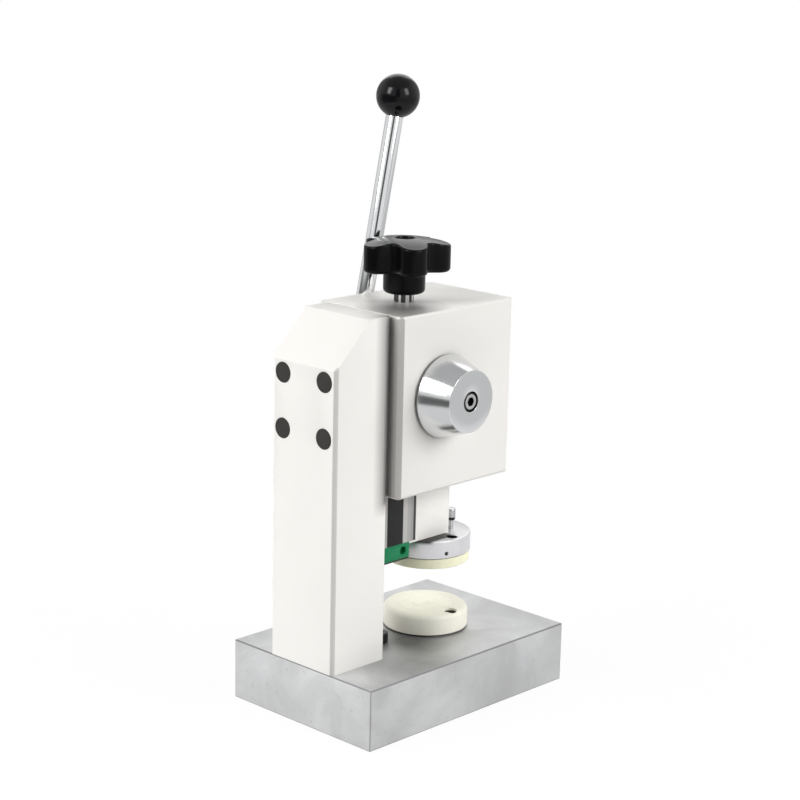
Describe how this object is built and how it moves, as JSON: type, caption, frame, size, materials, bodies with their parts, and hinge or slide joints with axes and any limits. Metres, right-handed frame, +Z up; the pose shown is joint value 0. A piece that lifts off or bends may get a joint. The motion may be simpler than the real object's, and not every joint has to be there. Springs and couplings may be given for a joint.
{
  "type": "coin cell electrode punch",
  "caption": "Bench lever press with a rack and pinion head that drives a ring knife down onto a soft pad to cut round electrode discs.",
  "frame": {"origin": "middle of the base plate's underside", "axes": "+Z up, -Y towards the operator, +X to the operator's right, where the lever is"},
  "size_m": [0.11, 0.1604, 0.351],
  "materials": {
    "base_steel": "ground and lightly mottled",
    "body_paint": "satin off-white paint",
    "bright_steel": "fine ground",
    "guide_steel": "black with a ground edge",
    "turned_steel": "polished turned",
    "chrome_rod": "polished",
    "black_oxide": "black oxide",
    "cap_screw_steel": "dark steel with a bright rim",
    "plate_steel": "dark burnished",
    "flange_aluminium": "fine turned",
    "bronze": "turned",
    "green_plastic": "moulded",
    "seal_rubber": "matt",
    "knob_plastic": "polished",
    "plug_plastic": "matt",
    "stripper_rubber": "smooth pale",
    "pad_nylon": "satin ivory"
  },
  "bodies": {
    "frame": {"base_plate": "base_steel", "column_bolts": "black_oxide", "column": "body_paint", "head_bolts": "black_oxide", "bolt_plugs": "plug_plastic", "head_housing": "body_paint", "guide_rail": "bright_steel", "rail_screws": "black_oxide", "shaft_bushes": "bronze", "threaded_bush": "bright_steel", "cutting_pad": "pad_nylon", "pad_screw": "black_oxide", "base_screw": "black_oxide"},
    "ram_unit": {"guide_block": "guide_steel", "guide_end_caps": "green_plastic", "guide_end_seals": "seal_rubber", "guide_cap_screws": "bright_steel", "guide_balls": "bright_steel", "slide_plate": "plate_steel", "plate_screws": "bright_steel", "ram": "body_paint", "ram_screws": "black_oxide", "rack": "bright_steel", "rack_screws": "black_oxide", "tool_flange": "flange_aluminium", "flange_screws": "black_oxide", "ring_knife": "bright_steel", "knife_set_screw": "black_oxide", "stripper_ring": "stripper_rubber", "stripper_studs": "bright_steel", "stud_nuts": "black_oxide"},
    "lever_unit": {"drive_shaft": "bright_steel", "pinion": "bright_steel", "shaft_keys": "bright_steel", "spacer_rings": "bright_steel", "shaft_end_cap": "turned_steel", "end_cap_screw": "cap_screw_steel", "lever_hub": "bright_steel", "hub_washer": "bright_steel", "hub_screw": "black_oxide", "lever_rod": "chrome_rod", "ball_knob": "knob_plastic"},
    "brake_slide": {"brake_pad": "bronze"},
    "brake_knob": {"brake_screw": "bright_steel", "star_knob": "knob_plastic", "knob_insert": "bronze"}
  },
  "joints": [
    {"name": "lever_swing", "type": "hinge", "parent": "frame", "child": "lever_unit", "pos_m": [0, 0.004, 0.182], "axis": [1, 0, 0], "range_deg": [0, 88.4]},
    {"name": "ram_slide", "type": "slide", "parent": "frame", "child": "ram_unit", "axis": [0, 0, -1], "range_m": [0, 0.0278]},
    {"name": "brake_feed", "type": "slide", "parent": "frame", "child": "brake_slide", "axis": [0, 0, 1], "range_m": [0, 0.003]},
    {"name": "knob_turn", "type": "hinge", "parent": "brake_slide", "child": "brake_knob", "pos_m": [0, 0.004, 0.25], "axis": [0, 0, 1], "range_deg": [0, 1081]}
  ],
  "couplings": [
    {"joint": "ram_slide", "follows": "lever_swing", "m_per_rad": 0.018},
    {"joint": "knob_turn", "follows": "brake_feed", "rad_per_m": 6283.2}
  ]
}
